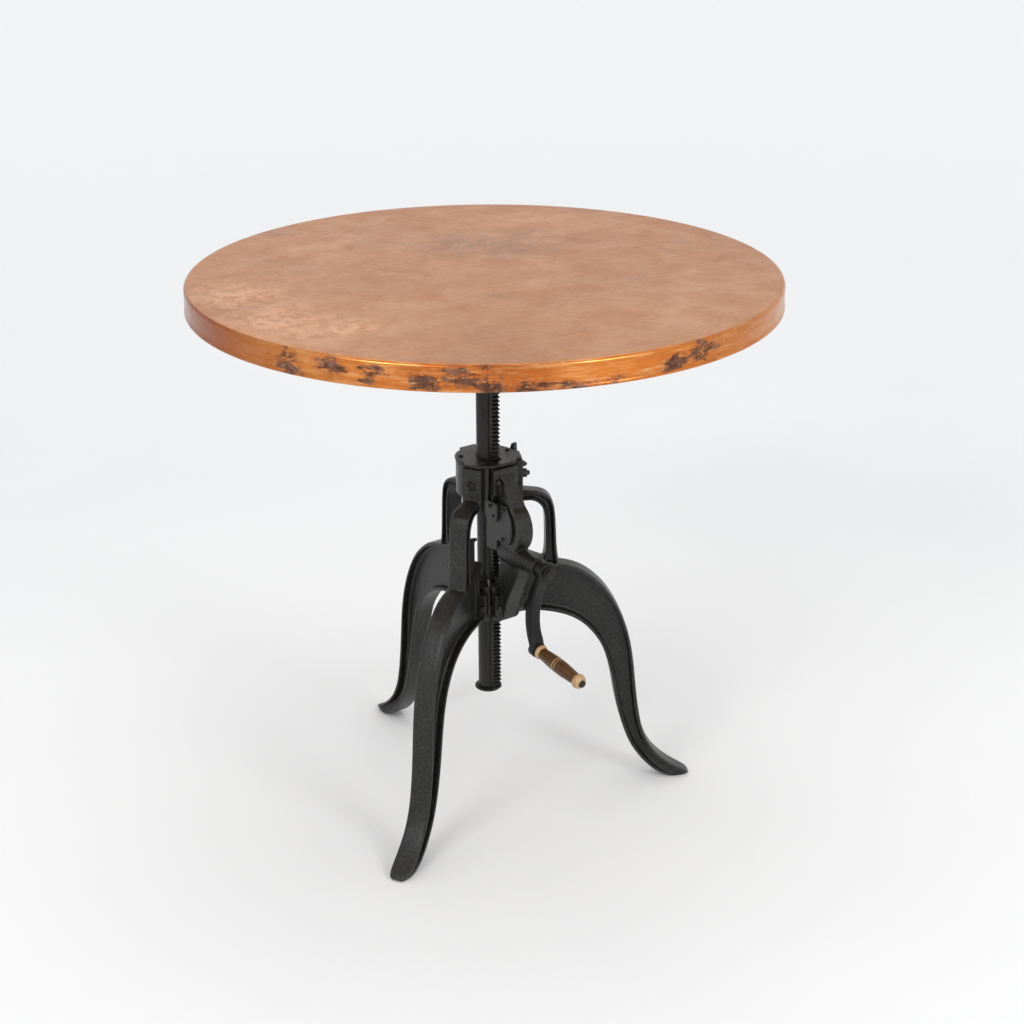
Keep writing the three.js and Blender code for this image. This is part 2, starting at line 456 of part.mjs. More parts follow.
// --------------------------------------------------------------- lift wheel
{
  const rb = WHEEL_RP * Math.cos(PRESSURE), inv = a => Math.tan(a) - a;
  const tip = WHEEL_RP + MODULE_, root = WHEEL_RP - 1.25 * MODULE_;
  const half = r => { const a = Math.acos(Math.min(1, rb / r)); return Math.PI / (2 * WHEEL_N) - 0.12 / WHEEL_RP + inv(PRESSURE) - inv(a); };
  const radii = [root, 36.9, tip];
  const pts = [];
  for (let k = 0; k < WHEEL_N; k++) {
    const c = 2 * Math.PI * k / WHEEL_N;
    for (const r of radii) pts.push([r * Math.cos(c - half(r)), r * Math.sin(c - half(r))]);
    for (const r of [...radii].reverse()) pts.push([r * Math.cos(c + half(r)), r * Math.sin(c + half(r))]);
  }
  // the tooth at angle 0 points at the column; r grows away from it
  const ring = plate(pts.map(([a, b]) => [WHEEL_R - a, WHEEL_Z + b]), -WHEEL_W / 2, WHEEL_W / 2);
  let w = solid(ring);
  w = w.add(solid(rod('y', 11, -6.7, 6.7, WHEEL_R, WHEEL_Z, 20)));
  w = cut(w, rod('y', 5.15, -10, 10, WHEEL_R, WHEEL_Z, 20));
  for (let i = 0; i < 5; i++) {
    const a = rad(90 + 72 * i);
    w = cut(w, rod('y', 6.5, -10, 10, WHEEL_R + 21.5 * Math.cos(a), WHEEL_Z + 21.5 * Math.sin(a), 10));
  }
  node('lift_wheel', w, 'steel', CRANK_AZ);
}

// ------------------------------------------------------- crankshaft and worm
{
  const seg = 16, turns = 3.2, y0 = WHEEL_R - turns * PITCH / 2;
  // thread space under the wheel tooth that sits a quarter pitch beyond straight down
  const toothR = WHEEL_R + PITCH / 4;
  const crest = toothR + PITCH / 2;
  const half = r => PITCH / 4 - 0.55 - (r - WORM_RP) * Math.tan(PRESSURE);
  const rings = []; const n = Math.round(turns * seg);
  const phase0 = (y0 - crest) / PITCH;            // turns from the crest at the top
  for (let i = 0; i <= n; i++) {
    const y = y0 + i * PITCH / seg, th = 2 * Math.PI * (phase0 + i / seg);
    // left-hand thread: seen from the handle, turning clockwise raises the top
    const dir = V(0, Math.sin(th), Math.cos(th));
    const at = (r, d) => V(y + d, dir.y * r, dir.z * r);
    rings.push([at(6.0, -half(6.0)), at(11.4, -half(11.4)), at(11.4, half(11.4)), at(6.0, half(6.0))]);
  }
  const thread = loft(rings, [[0, 0], [1, 0], [1, 1], [0, 1]]);
  let shaft = solid(turnedX([[0, 42], [5, 42], [5, 51], [6.85, 52], [6.85, 80], [7.9, 81], [7.9, 143.4], [6.0, 144.2], [6.0, 166], [0, 166]], 16));
  shaft = shaft.add(solid(thread));
  const g = geometry(shaft); g.translate(0, 0, WORM_Z);
  node('crankshaft', g, 'steel', CRANK_AZ);
}

// crank arm: bowed towards the column, then out again to the handle eye
{
  const C = [[153, 448], [149.5, 431], [141, 414], [132.5, 395], [126.5, 373], [125, 350], [128, 331], [134, 316], [137, 305]];
  const T = [11, 12.5, 14, 15, 15.5, 15, 13, 11.5, 11];
  const W = [26, 24.5, 23, 22, 22, 22, 23, 24.5, 25];
  const rings = C.map(([r, z], i) => {
    const a = C[Math.max(0, i - 1)], b = C[Math.min(C.length - 1, i + 1)];
    const t = [b[0] - a[0], b[1] - a[1]], L = Math.hypot(...t), nrm = [-t[1] / L, t[0] / L];   // points outward, away from the column
    const h = T[i] / 2, w = W[i] / 2, e = 2.2;
    return [[-h, -w + e], [-h, w - e], [-h + e, w], [h - e, w], [h, w - e], [h, -w + e], [h - e, -w], [-h + e, -w]]
      .map(([n_, s]) => V(r + nrm[0] * n_, s, z + nrm[1] * n_));
  });
  const bar = loft(rings, [[0, 0], [0, 3], [1, 4], [2, 4], [3, 3], [3, 0], [2, -1], [1, -1]]);
  const hub = turnedX([[0, 144.4], [13.2, 144.4], [13.2, 155.5], [16, 157], [16, 164.2], [15, 165.2], [0, 165.2]], 24).translate(0, 0, WORM_Z);
  const eye = turnedX([[0, -6.5], [13, -6.5], [13, 5.5], [12, 6.5], [0, 6.5]], 16);
  eye.rotateY(HANDLE_TILT); eye.translate(136.5, 0, 304);
  let arm = union(bar, hub, eye);
  arm = cut(arm, rod('x', 6.4, 135, 175, 0, WORM_Z, 16));
  const hole = rod('x', 4.3, -12, 12, 0, 0, 12); hole.rotateY(HANDLE_TILT); hole.translate(136.5, 0, 304);
  arm = cut(arm, hole);
  node('crank_arm', arm, 'iron', CRANK_AZ);
}
node('crank_hub_bolt', turnedX([[0, 166.3], [9.2, 166.3], [9.2, 168.0], [6.6, 168.2], [6.6, 172.6], [5.4, 173.6], [0, 173.8]], 12).translate(0, 0, WORM_Z), 'steel', CRANK_AZ);

// handle: pin in the eye, turned grip between two pale ferrules
const handlePlace = new THREE.Object3D();
handlePlace.rotation.y = HANDLE_TILT;
handlePlace.position.set(136.5, 0, 304);
const H = pts => turnedX(pts, 16);
node('handle_pin', H([[0, -9.5], [3.4, -9.5], [4, -8.9], [4, 118.6], [6.4, 118.8], [5.6, 121.4], [0, 122]]), 'steel', CRANK_AZ, handlePlace);
node('handle_inner_ferrule', H([[4.35, 7.2], [9.5, 7.2], [12, 9.8], [12, 13], [10, 16], [4.35, 16], [4.35, 7.2]]), 'lightwood', CRANK_AZ, handlePlace);
node('handle_grip', H([[4.35, 16.3], [9.4, 16.3], [10.9, 32], [11.9, 50], [11.9, 62], [10.9, 80], [9.3, 104], [4.35, 104], [4.35, 16.3]]), 'darkwood', CRANK_AZ, handlePlace);
node('handle_outer_ferrule', H([[4.35, 104.3], [9.6, 104.3], [12, 107.6], [12, 112.4], [9.4, 116.6], [6.0, 118.3], [4.35, 118.3], [4.35, 104.3]]), 'lightwood', CRANK_AZ, handlePlace);

// bearing sleeves for the crankshaft: a long one in the boss, a short one ahead of the worm
node('crank_bush', turnedX([[8.25, 84.6], [9.6, 84.6], [9.6, 141.7], [8.25, 141.7], [8.25, 84.6]], 24).translate(0, 0, WORM_Z), 'bronze', CRANK_AZ);

// ---------------------------------------------------------------- lock screw
{
  let s = solid(turnedX([[0, 16.6], [3.5, 16.6], [5, 18.2], [5, 54.4], [8, 54.6], [8, 60], [5, 61.4], [0, 61.4]], 12));
  // four blunt lobes
  const lobes = [];
  for (let k = 0; k < 4; k++) for (const [da, r] of [[-45, 11], [-24, 13.5], [-6, 27.5], [0, 29], [6, 27.5], [24, 13.5]]) {
    const a = rad(90 * k + 98 + da);
    lobes.push(new THREE.Vector2(r * Math.cos(a), r * Math.sin(a)));
  }
  const knob = new THREE.ExtrudeGeometry(new THREE.Shape(lobes), { depth: 7.5, bevelEnabled: true, bevelThickness: 1, bevelSize: 1, bevelOffset: -1, bevelSegments: 1 });
  knob.translate(0, 0, 1); knob.rotateX(Math.PI / 2); knob.rotateZ(Math.PI / 2); knob.translate(58.5, 0, 0);
  s = s.add(solid(knob));
  const g = geometry(s); g.translate(0, 0, LOCK_Z);
  node('lock_screw', g, 'iron', LOCK_AZ);
}

export default group;
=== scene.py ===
import json
import math

import bmesh
import bpy
from mathutils import Matrix, Vector, noise


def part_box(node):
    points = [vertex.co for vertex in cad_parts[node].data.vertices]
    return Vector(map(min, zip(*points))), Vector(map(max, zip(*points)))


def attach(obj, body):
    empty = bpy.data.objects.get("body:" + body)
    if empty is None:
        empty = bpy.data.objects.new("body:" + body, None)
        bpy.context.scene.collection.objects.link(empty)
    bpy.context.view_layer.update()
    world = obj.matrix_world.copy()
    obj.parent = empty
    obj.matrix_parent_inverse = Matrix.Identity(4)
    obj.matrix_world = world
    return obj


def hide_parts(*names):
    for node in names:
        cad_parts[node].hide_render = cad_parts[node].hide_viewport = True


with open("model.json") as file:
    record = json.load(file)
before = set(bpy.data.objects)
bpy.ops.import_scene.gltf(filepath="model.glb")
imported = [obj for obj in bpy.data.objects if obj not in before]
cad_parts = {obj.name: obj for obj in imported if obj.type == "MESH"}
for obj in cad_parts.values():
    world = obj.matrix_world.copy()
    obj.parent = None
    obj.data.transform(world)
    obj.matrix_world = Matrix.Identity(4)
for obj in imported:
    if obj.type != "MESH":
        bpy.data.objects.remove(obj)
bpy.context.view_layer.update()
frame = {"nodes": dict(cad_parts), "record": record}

NODES = frame["nodes"]
BODY_OF = {n: b for b, names in frame["record"]["behaviour"]["bodies"].items() for n in names}
SLOT_OF = {s["node"]: s["material_slot"] for s in frame["record"]["subparts"]}
MM = 0.001
CRANK_AZ = 270
LEG_AZ = {"leg_back": 90, "leg_front_left": 210, "leg_front_right": 330}
noise.seed_set(7)


# ------------------------------------------------------------------ materials
class Tree:
    """Small helper round a material's nodes."""

    def __init__(self, name):
        self.m = bpy.data.materials.new(name)
        self.m.use_nodes = True
        self.t = self.m.node_tree
        self.b = self.t.nodes["Principled BSDF"]
        self.co = self.add("ShaderNodeTexCoord").outputs["Object"]

    def add(self, kind, **kw):
        n = self.t.nodes.new(kind)
        for k, v in kw.items():
            setattr(n, k, v)
        return n

    def link(self, a, b):
        self.t.links.new(a, b)

    def scaled(self, s, rot=(0, 0, 0)):
        n = self.add("ShaderNodeMapping")
        n.inputs["Scale"].default_value = s
        n.inputs["Rotation"].default_value = rot
        self.link(self.co, n.inputs["Vector"])
        return n.outputs["Vector"]

    def noise(self, scale, detail=4, rough=0.55, vec=None, distortion=0.0):
        n = self.add("ShaderNodeTexNoise")
        n.inputs["Scale"].default_value = scale
        n.inputs["Detail"].default_value = detail
        n.inputs["Roughness"].default_value = rough
        n.inputs["Distortion"].default_value = distortion
        self.link(vec if vec is not None else self.co, n.inputs["Vector"])
        return n.outputs["Fac"]

    def ramp(self, fac, stops, interp="LINEAR"):
        n = self.add("ShaderNodeValToRGB")
        n.color_ramp.interpolation = interp
        els = n.color_ramp.elements
        while len(els) < len(stops):
            els.new(0.5)
        for e, (p, c) in zip(els, stops):
            e.position = p
            e.color = (*c, 1) if len(c) == 3 else c
        self.link(fac, n.inputs["Fac"])
        return n.outputs["Color"]

    def mix(self, fac, a, b, blend="MIX"):
        n = self.add("ShaderNodeMix", data_type="RGBA", blend_type=blend)
        for sock, v in ((n.inputs[0], fac), (n.inputs[6], a), (n.inputs[7], b)):
            if isinstance(v, (int, float)):
                sock.default_value = v
            elif isinstance(v, tuple):
                sock.default_value = (*v, 1)
            else:
                self.link(v, sock)
        return n.outputs[2]

    def math(self, op, a, b=None, clamp=False):
        n = self.add("ShaderNodeMath", operation=op, use_clamp=clamp)
        for i, v in enumerate((a, b)):
            if v is None:
                continue
            if isinstance(v, (int, float)):
                n.inputs[i].default_value = v
            else:
                self.link(v, n.inputs[i])
        return n.outputs[0]

    def span(self, v, a, b, c, d):
        n = self.add("ShaderNodeMapRange", clamp=True)
        for i, x in zip((1, 2, 3, 4), (a, b, c, d)):
            n.inputs[i].default_value = x
        self.link(v, n.inputs[0])
        return n.outputs[0]

    def bump(self, height, strength, distance, normal=None):
        n = self.add("ShaderNodeBump")
        n.inputs["Strength"].default_value = strength
        n.inputs["Distance"].default_value = distance
        self.link(height, n.inputs["Height"])
        if normal is not None:
            self.link(normal, n.inputs["Normal"])
        return n.outputs["Normal"]

    def near(self, spots, ruffle, scale=9.0):
        """1 in the named areas, falling to 0 with a ragged edge. spots are (centre, inner, outer, height stretch)."""
        rag = self.math("MULTIPLY", self.math("SUBTRACT", self.noise(scale, 7, 0.72, distortion=0.5), 0.5), ruffle)
        total = None
        for centre, inner, outer, stretch in spots:
            d = self.add("ShaderNodeVectorMath", operation="SUBTRACT")
            self.link(self.co, d.inputs[0])
            d.inputs[1].default_value = centre
            k = self.add("ShaderNodeVectorMath", operation="MULTIPLY")
            self.link(d.outputs[0], k.inputs[0])
            k.inputs[1].default_value = (1, 1, stretch)
            n = self.add("ShaderNodeVectorMath", operation="LENGTH")
            self.link(k.outputs[0], n.inputs[0])
            one = self.span(self.math("ADD", n.outputs["Value"], rag), inner, outer, 1, 0)
            total = one if total is None else self.math("MAXIMUM", total, one)
        return total

    def convex_edges(self, lo=0.52, hi=0.60):
        g = self.add("ShaderNodeNewGeometry")
        return self.span(g.outputs["Pointiness"], lo, hi, 0, 1)

    def out(self, color=None, rough=None, normal=None, **const):
        if color is not None:
            self.link(color, self.b.inputs["Base Color"])
        if rough is not None:
            self.link(rough, self.b.inputs["Roughness"])
        if normal is not None:
            self.link(normal, self.b.inputs["Normal"])
        for k, v in const.items():
            self.b.inputs[k.replace("_", " ")].default_value = v
        return self.m


def copper(name, band):
    t = Tree(name)
    broad = t.noise(3.6, 5, 0.6)
    mid = t.noise(17, 6, 0.65, distortion=0.4)
    fine = t.noise(150, 4, 0.6)
    if band:
        streak = t.noise(1.0, 6, 0.7, vec=t.scaled((16, 16, 190)))
        col = t.ramp(broad, [(0.30, (0.42, 0.100, 0.014)), (0.50, (0.65, 0.195, 0.032)), (0.70, (0.84, 0.34, 0.080))])
        col = t.mix(t.span(streak, 0.48, 0.68, 0, 0.65), col, (0.97, 0.55, 0.24))
        col = t.mix(t.span(mid, 0.50, 0.66, 0, 0.45), col, (0.42, 0.110, 0.020))
        side = t.add("ShaderNodeSeparateXYZ")
        t.link(t.co, side.inputs[0])
        # painted shade: the left end of the band, seen at a grazing angle, is darkened to a deep red-brown
        left_painted_shade = t.span(t.math("SUBTRACT", t.math("MULTIPLY", side.outputs[0], 0.814), t.math("MULTIPLY", side.outputs[1], 0.581)), -0.40, -0.12, 1, 0)
        col = t.mix(t.math("MULTIPLY", left_painted_shade, 0.88), col, (0.25, 0.046, 0.005))
        marks = t.near([((-0.434, -0.148, 0.864), 0.0, 0.050, 1.5), ((-0.405, -0.212, 0.874), 0.004, 0.052, 1.5), ((-0.372, -0.266, 0.866), 0.0, 0.040, 1.8),
                        ((-0.323, -0.325, 0.864), 0.004, 0.056, 1.6), ((-0.290, -0.355, 0.874), 0.010, 0.064, 1.5), ((-0.255, -0.380, 0.858), 0.008, 0.060, 1.7),
                        ((-0.205, -0.410, 0.856), 0.006, 0.056, 2.4), ((-0.150, -0.433, 0.854), 0.002, 0.054, 2.8), ((-0.100, -0.447, 0.854), 0.0, 0.048, 2.8),
                        ((0.002, -0.458, 0.864), 0.004, 0.046, 1.5), ((0.048, -0.455, 0.874), 0.006, 0.056, 1.4)], 0.060, 22)
        rear = t.span(t.math("ADD", t.math("MULTIPLY", side.outputs[0], 0.57), t.math("MULTIPLY", side.outputs[1], 0.82)), -0.02, 0.10, 0, 1)
        area_noise = t.span(t.noise(7.5, 3, 0.5), 0.52, 0.58, 0, 1)
        where = t.math("MAXIMUM", marks, t.math("MULTIPLY", rear, area_noise))
        torn = t.noise(1.0, 9, 0.70, vec=t.scaled((24, 24, 78)), distortion=0.35)
        dark = t.span(t.math("ADD", t.math("MULTIPLY", where, 0.31), torn), 0.685, 0.745, 0, 1)
        flake = t.math("MULTIPLY", where, t.span(t.noise(1.0, 5, 0.7, vec=t.scaled((70, 70, 300))), 0.58, 0.63, 0, 1))
        ruddy = t.span(t.math("ADD", t.math("MULTIPLY", where, 0.30), torn), 0.56, 0.74, 0, 1)
        col = t.mix(t.math("MULTIPLY", ruddy, 0.55), col, (0.44, 0.115, 0.028))
        col = t.mix(t.math("MULTIPLY", dark, 0.88), col, t.ramp(t.noise(52, 7, 0.72), [(0.36, (0.032, 0.015, 0.013)), (0.50, (0.105, 0.050, 0.036)), (0.64, (0.260, 0.145, 0.100))]))
        col = t.mix(t.math("MULTIPLY", flake, 0.55), col, (0.92, 0.50, 0.24))
        # painted shade: the band is darker towards its right end, where it turns away from the light
        right = t.span(t.math("SUBTRACT", t.math("MULTIPLY", side.outputs[0], 0.814), t.math("MULTIPLY", side.outputs[1], 0.581)), 0.26, 0.44, 0, 0.55)
        col = t.mix(right, col, (0.42, 0.140, 0.036))
        rough = t.math("ADD", t.span(mid, 0.3, 0.7, 0.20, 0.30), t.math("MULTIPLY", dark, 0.12))
        normal = t.bump(mid, 0.25, 0.0012)
        normal = t.bump(t.noise(60, 3, 0.5), 0.18, 0.0006, normal)
        return t.out(col, rough, normal, Metallic=0.88, Coat_Weight=0.12, Coat_Roughness=0.08)
    col = t.ramp(broad, [(0.30, (0.42, 0.176, 0.066)), (0.50, (0.535, 0.235, 0.092)), (0.72, (0.63, 0.300, 0.136))])
    col = t.mix(t.span(mid, 0.42, 0.68, 0, 0.50), col, (0.40, 0.150, 0.062))
    smudge = t.math("MULTIPLY", t.span(t.noise(8.0, 7, 0.75, distortion=0.8), 0.55, 0.68, 0, 1), t.span(t.noise(2.6, 3, 0.5), 0.50, 0.62, 0, 1))
    col = t.mix(t.math("MULTIPLY", smudge, 0.62), col, (0.20, 0.115, 0.070))
    pale = t.span(t.noise(5.2, 5, 0.6, vec=t.scaled((1, 1.6, 1), (0, 0, 0.6))), 0.58, 0.74, 0, 0.50)
    col = t.mix(pale, col, (0.72, 0.38, 0.235))
    col = t.mix(t.span(fine, 0.35, 0.65, 0, 0.24), col, (0.30, 0.115, 0.05))
    broken = t.span(t.noise(46, 7, 0.75), 0.45, 0.54, 0.15, 1)
    stain = t.near([((0.124, 0.135, 0.89), 0.02, 0.13, 1), ((0.060, 0.170, 0.89), 0.01, 0.11, 1)], 0.22, 8)
    faint = t.near([((-0.239, 0.196, 0.89), 0.01, 0.12, 1), ((0.148, -0.194, 0.89), 0.01, 0.14, 1), ((-0.05, 0.29, 0.89), 0.01, 0.16, 1)], 0.22, 8)
    stain = t.math("MAXIMUM", stain, t.math("MULTIPLY", faint, 0.35))
    col = t.mix(t.math("MULTIPLY", t.math("MULTIPLY", stain, broken), 0.66), col, (0.25, 0.142, 0.082))
    fleck = t.span(t.noise(1.0, 6, 0.75, vec=t.scaled((70, 140, 70))), 0.58, 0.64, 0, 1)
    col = t.mix(t.math("MULTIPLY", t.math("MULTIPLY", stain, fleck), 0.60), col, (0.82, 0.46, 0.27))
    rubbed = t.near([((-0.374, 0.121, 0.89), 0.01, 0.11, 1), ((-0.377, -0.048, 0.89), 0.02, 0.12, 1), ((-0.32, -0.13, 0.89), 0.0, 0.08, 1)], 0.16, 11)
    col = t.mix(t.math("MULTIPLY", t.math("MULTIPLY", rubbed, broken), 0.75), col, (0.80, 0.42, 0.235))
    col = t.mix(t.span(t.noise(330, 3, 0.6), 0.50, 0.66, 0, 0.20), col, (0.25, 0.095, 0.042))
    rough = t.span(mid, 0.3, 0.7, 0.34, 0.50)
    hammer = t.add("ShaderNodeTexVoronoi", feature="SMOOTH_F1")
    hammer.inputs["Scale"].default_value = 95
    hammer.inputs["Smoothness"].default_value = 0.8
    t.link(t.co, hammer.inputs["Vector"])
    normal = t.bump(hammer.outputs["Distance"], 0.55, 0.0016)
    normal = t.bump(fine, 0.42, 0.0010, normal)
    return t.out(col, rough, normal, Metallic=0.80, Coat_Weight=0.10, Coat_Roughness=0.22)


def iron(name, base=0.0115, grain=1.0, rough=(0.27, 0.40), scale=1.0, spec=0.33):
    t = Tree(name)
    big = t.noise(14 * scale, 4, 0.6)
    cast = t.noise(420 * scale, 5, 0.7)
    pit = t.noise(150 * scale, 3, 0.6)
    col = t.ramp(big, [(0.3, (base * 0.75, base * 0.75, base * 0.71)), (0.55, (base * 1.1, base * 1.08, base)), (0.75, (base * 1.7, base * 1.62, base * 1.42))])
    speck = t.noise(290 * scale, 4, 0.75)
    col = t.mix(t.span(speck, 0.50, 0.66, 0, 0.70), col, (base * 3.6, base * 3.5, base * 3.2))
    col = t.mix(t.span(speck, 0.50, 0.36, 0, 0.80), col, (base * 0.25, base * 0.25, base * 0.24))
    # lighter colour on convex edges and rims: partly real edge wear, partly painted highlight
    wear_and_highlight = t.math("MULTIPLY", t.convex_edges(), t.span(t.noise(60, 5, 0.7), 0.40, 0.65, 0.15, 1))
    col = t.mix(t.math("MULTIPLY", wear_and_highlight, 0.55), col, (0.105, 0.098, 0.086))
    r = t.math("ADD", t.span(big, 0.3, 0.7, *rough), t.span(cast, 0.3, 0.7, -0.05, 0.06))
    n = t.bump(pit, 0.45 * grain, 0.0014)
    n = t.bump(cast, 0.62 * grain, 0.0007, n)
    return t.out(col, r, n, Metallic=0.0, IOR=1.5, Specular_IOR_Level=spec, Coat_Weight=0.05, Coat_Roughness=0.3)


def steel(name, base, metallic, rough, along_z=True, bright=0.25):
    t = Tree(name)
    vec = t.scaled((260, 260, 9)) if along_z else t.scaled((160, 160, 160))
    streak = t.noise(1.0, 4, 0.6, vec=vec)
    blotch = t.noise(26, 5, 0.65)
    col = t.ramp(blotch, [(0.3, tuple(c * 0.75 for c in base)), (0.7, tuple(c * 1.3 for c in base))])
    col = t.mix(t.span(streak, 0.35, 0.7, 0, 0.35), col, tuple(min(1, c * 1.7) for c in base))
    col = t.mix(t.math("MULTIPLY", t.convex_edges(0.53, 0.62), 0.5), col, (bright, bright * 0.95, bright * 0.87))
    r = t.math("ADD", t.span(blotch, 0.3, 0.7, rough - 0.06, rough + 0.08), t.span(streak, 0.3, 0.7, -0.04, 0.05))
    return t.out(col, r, t.bump(streak, 0.16, 0.0004), Metallic=metallic, Specular_IOR_Level=0.24)


def wood(name, dark, mid, light, axis, rough, coat):
    """Grain runs along axis, given as the rotation that brings it to Z."""
    t = Tree(name)
    v = t.scaled((150, 150, 16), axis)
    grain = t.noise(1.0, 6, 0.65, vec=v, distortion=0.6)
    pores = t.noise(1.0, 3, 0.6, vec=t.scaled((700, 700, 45), axis))
    tone = t.noise(22, 3, 0.5)
    col = t.ramp(grain, [(0.30, dark), (0.52, mid), (0.75, light)])
    col = t.mix(t.span(pores, 0.52, 0.66, 0, 0.5), col, tuple(c * 0.5 for c in dark))
    col = t.mix(t.span(tone, 0.35, 0.7, 0, 0.35), col, light)
    r = t.span(grain, 0.3, 0.7, rough - 0.05, rough + 0.1)
    return t.out(col, r, t.bump(pores, 0.25, 0.0003), Metallic=0.0, Coat_Weight=coat, Coat_Roughness=0.2)


TILT = math.radians(6.5)
TO_Z = (math.radians(90) + TILT, 0, 0)
M = {
    "copper_sheet": copper("copper_top_face", False),
    "copper_band": copper("copper_edge_band", True),
    "core_wood": wood("core_plywood", (0.30, 0.19, 0.10), (0.46, 0.32, 0.19), (0.60, 0.45, 0.28), (0, math.radians(90), 0), 0.6, 0.0),
    "black_cast_iron": iron("black_cast_iron"),
    # painted shade: a darker, less shiny, finer-grained copy of the cast iron, used for the crank arm
    "smooth_shaded_cast_iron": iron("smooth_shaded_cast_iron", 0.0055, 0.6, (0.30, 0.42), 1.2, 0.22),
    "black_steel": steel("blackened_steel", (0.0085, 0.0085, 0.008), 0.20, 0.30, True, 0.10),
    "oiled_steel": steel("oiled_steel", (0.17, 0.16, 0.145), 0.9, 0.34, False, 0.45),
    "black_fasteners": steel("black_fastener", (0.018, 0.017, 0.016), 0.4, 0.34, False, 0.16),
    "bronze_bush": steel("bearing_bronze", (0.36, 0.23, 0.10), 0.95, 0.36, False, 0.60),
    "dark_wood": wood("stained_hardwood", (0.034, 0.011, 0.002), (0.078, 0.029, 0.005), (0.140, 0.060, 0.012), TO_Z, 0.40, 0.05),
    "pale_wood": wood("pale_hardwood", (0.25, 0.13, 0.050), (0.42, 0.25, 0.11), (0.60, 0.41, 0.22), TO_Z, 0.38, 0.25),
}

for n, o in NODES.items():
    o.data.materials.clear()
    o.data.materials.append(M[SLOT_OF[n]])


# -------------------------------------------------------------------- helpers
def mesh_object(name, verts, faces, mat, smooth=True):
    me = bpy.data.meshes.new(name)
    me.from_pydata(verts, [], faces)
    me.validate()
    bm = bmesh.new()
    bm.from_mesh(me)
    bmesh.ops.recalc_face_normals(bm, faces=bm.faces)
    bm.to_mesh(me)
    bm.free()
    o = bpy.data.objects.new(name, me)
    bpy.context.scene.collection.objects.link(o)
    o.data.materials.append(mat)
    for p in me.polygons:
        p.use_smooth = smooth
    return o


def bake_modifiers(o):
    dg = bpy.context.evaluated_depsgraph_get()
    me = bpy.data.meshes.new_from_object(o.evaluated_get(dg), preserve_all_data_layers=True, depsgraph=dg)
    mats = list(o.data.materials)
    o.modifiers.clear()
    old = o.data
    o.data = me
    bpy.data.meshes.remove(old)
    me.materials.clear()
    for m in mats:
        me.materials.append(m)
    return o


def stand_in(o, node):
    """o takes the place of that CAD node, on the same body."""
    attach(o, BODY_OF[node])
    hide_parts(node)
    return o


def copy_of(node, name):
    me = NODES[node].data.copy()
    bm = bmesh.new()
    bm.from_mesh(me)
    bmesh.ops.remove_doubles(bm, verts=bm.verts, dist=2e-6)
    bmesh.ops.dissolve_limit(bm, angle_limit=math.radians(0.6), verts=bm.verts, edges=bm.edges)
    bm.to_mesh(me)
    bm.free()
    o = bpy.data.objects.new(name, me)
    bpy.context.scene.collection.objects.link(o)
    return o


def machined(node, bevel, segments=2, angle=28):
    """A turned or milled piece: the CAD shape with its edges broken."""
    o = copy_of(node, node + "_finished")
    for p in o.data.polygons:
        p.use_smooth = True
    m = o.modifiers.new("edges", "BEVEL")
    m.width = bevel * MM
    m.segments = segments
    m.limit_method = "ANGLE"
    m.angle_limit = math.radians(angle)
    m.use_clamp_overlap = True
    m.harden_normals = True
    bake_modifiers(o)
    return stand_in(o, node)


def cast(node, voxel, rounds, factor=0.5, rings=()):
    """A casting: the CAD shape with soft edges and fillets. rings are (radius, z0, z1) of turned faces about the column."""
    o = copy_of(node, node + "_cast")
    return soften(o, node, voxel, rounds, factor, rings)


def soften(o, node, voxel, rounds, factor=0.5, rings=(), flats=()):
    m = o.modifiers.new("remesh", "REMESH")
    m.mode = "VOXEL"
    m.voxel_size = voxel * MM
    m.adaptivity = 0.0
    s = o.modifiers.new("smooth", "SMOOTH")
    s.factor = factor
    s.iterations = rounds
    bake_modifiers(o)
    lo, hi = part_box(node)
    for v in o.data.vertices:
        for radius, z0, z1 in rings:
            r = math.hypot(v.co.x, v.co.y)
            if z0 * MM < v.co.z < z1 * MM and abs(r - radius * MM) < 0.45 * MM:
                v.co.x *= radius * MM / r
                v.co.y *= radius * MM / r
        v.co = Vector(min(max(c, a), b) for c, a, b in zip(v.co, lo, hi))
    for p in o.data.polygons:
        p.use_smooth = True
    return stand_in(o, node)


def lathe(name, profile, mat, segs, place=Matrix(), closed=True):
    """profile of (radius, height) in mm, turned about Z; radius 0 at an end closes it."""
    verts, rows = [], []
    for r, z in profile:
        if r < 1e-6:
            rows.append([len(verts)])
            verts.append((0, 0, z * MM))
        else:
            rows.append(list(range(len(verts), len(verts) + segs)))
            for k in range(segs):
                a = 2 * math.pi * k / segs
                verts.append((r * MM * math.cos(a), r * MM * math.sin(a), z * MM))
    faces = []
    pairs = list(zip(rows, rows[1:] + ([rows[0]] if closed and len(rows[0]) > 1 else [])))
    for a, b in pairs:
        for k in range(segs):
            k2 = (k + 1) % segs
            if len(a) == 1 and len(b) == 1:
                continue
            if len(a) == 1:
                faces.append((a[0], b[k], b[k2]))
            elif len(b) == 1:
                faces.append((a[k], b[0], a[k2]))
            else:
                faces.append((a[k], b[k], b[k2], a[k2]))
    o = mesh_object(name, [tuple(place @ Vector(v)) for v in verts], faces, mat)
    o.data.set_sharp_from_angle(angle=math.radians(38))
    return o


def spline(pts, n):
    """n points on a Catmull-Rom curve through pts, spaced by knot."""
    out = []
    m = len(pts) - 1
    for i in range(n):
        u = i / (n - 1) * m
        k = min(int(u), m - 1)
        f = u - k
        p = [Vector(pts[min(max(j, 0), m)]) for j in (k - 1, k, k + 1, k + 2)]
        out.append(0.5 * ((2 * p[1]) + (p[2] - p[0]) * f + (2 * p[0] - 5 * p[1] + 4 * p[2] - p[3]) * f * f + (3 * p[1] - 3 * p[2] + p[3] - p[0]) * f ** 3))
    return out


def values(xs, n):
    return [v.x for v in spline([(x, 0) for x in xs], n)]


